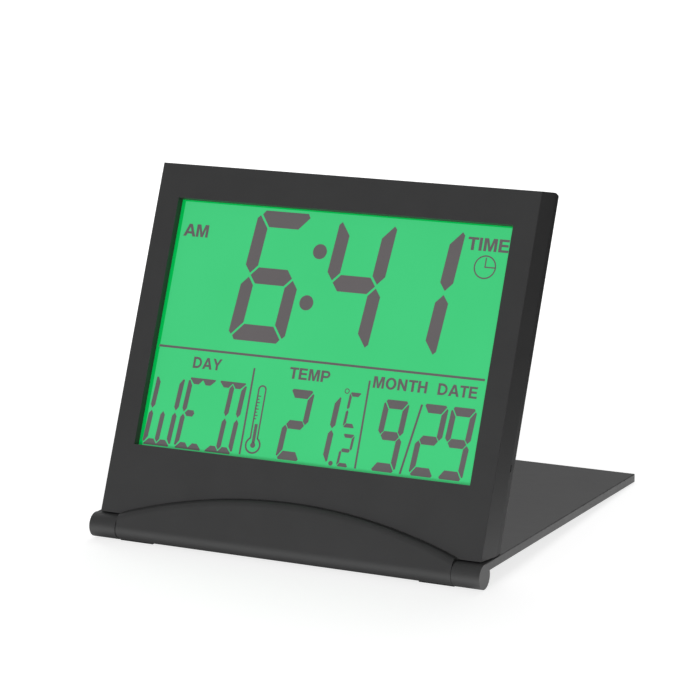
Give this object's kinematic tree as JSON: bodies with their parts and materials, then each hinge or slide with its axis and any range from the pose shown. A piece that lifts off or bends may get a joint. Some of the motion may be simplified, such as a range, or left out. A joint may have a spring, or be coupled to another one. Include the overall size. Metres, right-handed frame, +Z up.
{
  "type": "folding alarm clock",
  "caption": "Folding travel alarm clock: a leaning head with a lit liquid crystal display, hinged to a flat cover that folds behind it as the foot and closes over the display.",
  "frame": {"origin": "middle of the footprint on the table, under the middle of the clock's outline seen from above", "axes": "+X along the hinge to the right as seen from the front, +Y towards the back, +Z up"},
  "size_m": [0.108, 0.0984, 0.0889],
  "materials": {
    "front_shell": "fine matte moulded plastic",
    "rear_shell": "fine matte moulded plastic",
    "cover_plastic": "fine matte moulded plastic",
    "door_plastic": "fine matte moulded plastic",
    "knob_plastic": "light grey plastic",
    "button_rubber": "soft matte rubber",
    "foot_rubber": "soft matte rubber",
    "display_film": "lit green film with grey digits",
    "display_glass": "clear",
    "clear_guide": "clear moulded sheet with a dotted back",
    "reflector_film": "white satin film",
    "strip_rubber": "striped contact rubber",
    "lamp_resin": "clear resin over a green lamp",
    "tray_plastic": "white moulded plastic",
    "board_laminate": "green solder mask",
    "black_resin": "black resin",
    "ceramic_tan": "tan ceramic",
    "ceramic_white": "white silvered ceramic",
    "steel": "bright steel",
    "screw_steel": "zinc plated steel",
    "spring_metal": "plated spring brass",
    "sounder_brass": "plain brass"
  },
  "bodies": {
    "head": {"front_bezel": "front_shell", "rear_case": "rear_shell", "foot_pads": "foot_rubber", "display_front_glass": "display_glass", "front_polariser": "display_film", "display_rear_glass": "display_glass", "rear_polariser": "display_film", "light_guide": "clear_guide", "backlight_reflector": "reflector_film", "contact_strip": "strip_rubber", "backlight_lamps": "lamp_resin", "display_tray": "tray_plastic", "circuit_board": "board_laminate", "chip_resin": "black_resin", "clock_crystal": "steel", "board_resistors": "black_resin", "board_capacitors": "ceramic_tan", "temperature_sensor": "black_resin", "sounder_plate": "sounder_brass", "sounder_ceramic": "ceramic_white", "coin_cell_cap": "steel", "coin_cell_can": "steel", "minus_contact_leaf": "spring_metal", "plus_contact_clip": "spring_metal", "snap_domes": "spring_metal", "alarm_switch_body": "steel", "board_screws": "screw_steel", "case_screws": "screw_steel", "hinge_pin_left": "steel", "hinge_pin_right": "steel"},
    "cover": {"cover": "cover_plastic"},
    "mode_button": {"mode_button": "button_rubber"},
    "set_button": {"set_button": "button_rubber"},
    "up_button": {"up_button": "button_rubber"},
    "down_button": {"down_button": "button_rubber"},
    "snooze_bar": {"snooze_bar": "button_rubber"},
    "alarm_knob": {"alarm_knob": "knob_plastic"},
    "battery_door": {"battery_door": "door_plastic"}
  },
  "joints": [
    {"name": "cover_hinge", "type": "hinge", "parent": "head", "child": "cover", "pos_m": [0, -0.04607, 0.0032], "axis": [-1, 0, 0], "range_deg": [0, 292.26]},
    {"name": "mode_press", "type": "slide", "parent": "head", "child": "mode_button", "axis": [0, -0.9085, 0.4179], "range_m": [0, 0.0005], "stiffness_N_per_m": 1500},
    {"name": "set_press", "type": "slide", "parent": "head", "child": "set_button", "axis": [0, -0.9085, 0.4179], "range_m": [0, 0.0005], "stiffness_N_per_m": 1500},
    {"name": "up_press", "type": "slide", "parent": "head", "child": "up_button", "axis": [0, -0.9085, 0.4179], "range_m": [0, 0.0005], "stiffness_N_per_m": 1500},
    {"name": "down_press", "type": "slide", "parent": "head", "child": "down_button", "axis": [0, -0.9085, 0.4179], "range_m": [0, 0.0005], "stiffness_N_per_m": 1500},
    {"name": "snooze_bar_press", "type": "slide", "parent": "head", "child": "snooze_bar", "axis": [0, -0.9085, 0.4179], "range_m": [0, 0.0005], "stiffness_N_per_m": 1500},
    {"name": "alarm_slide", "type": "slide", "parent": "head", "child": "alarm_knob", "axis": [1, 0, 0], "range_m": [0, 0.003]},
    {"name": "battery_door_turn", "type": "hinge", "parent": "head", "child": "battery_door", "pos_m": [0.026, -0.02147, 0.03371], "axis": [0, 0.9085, -0.4179], "range_deg": [0, 45]}
  ]
}
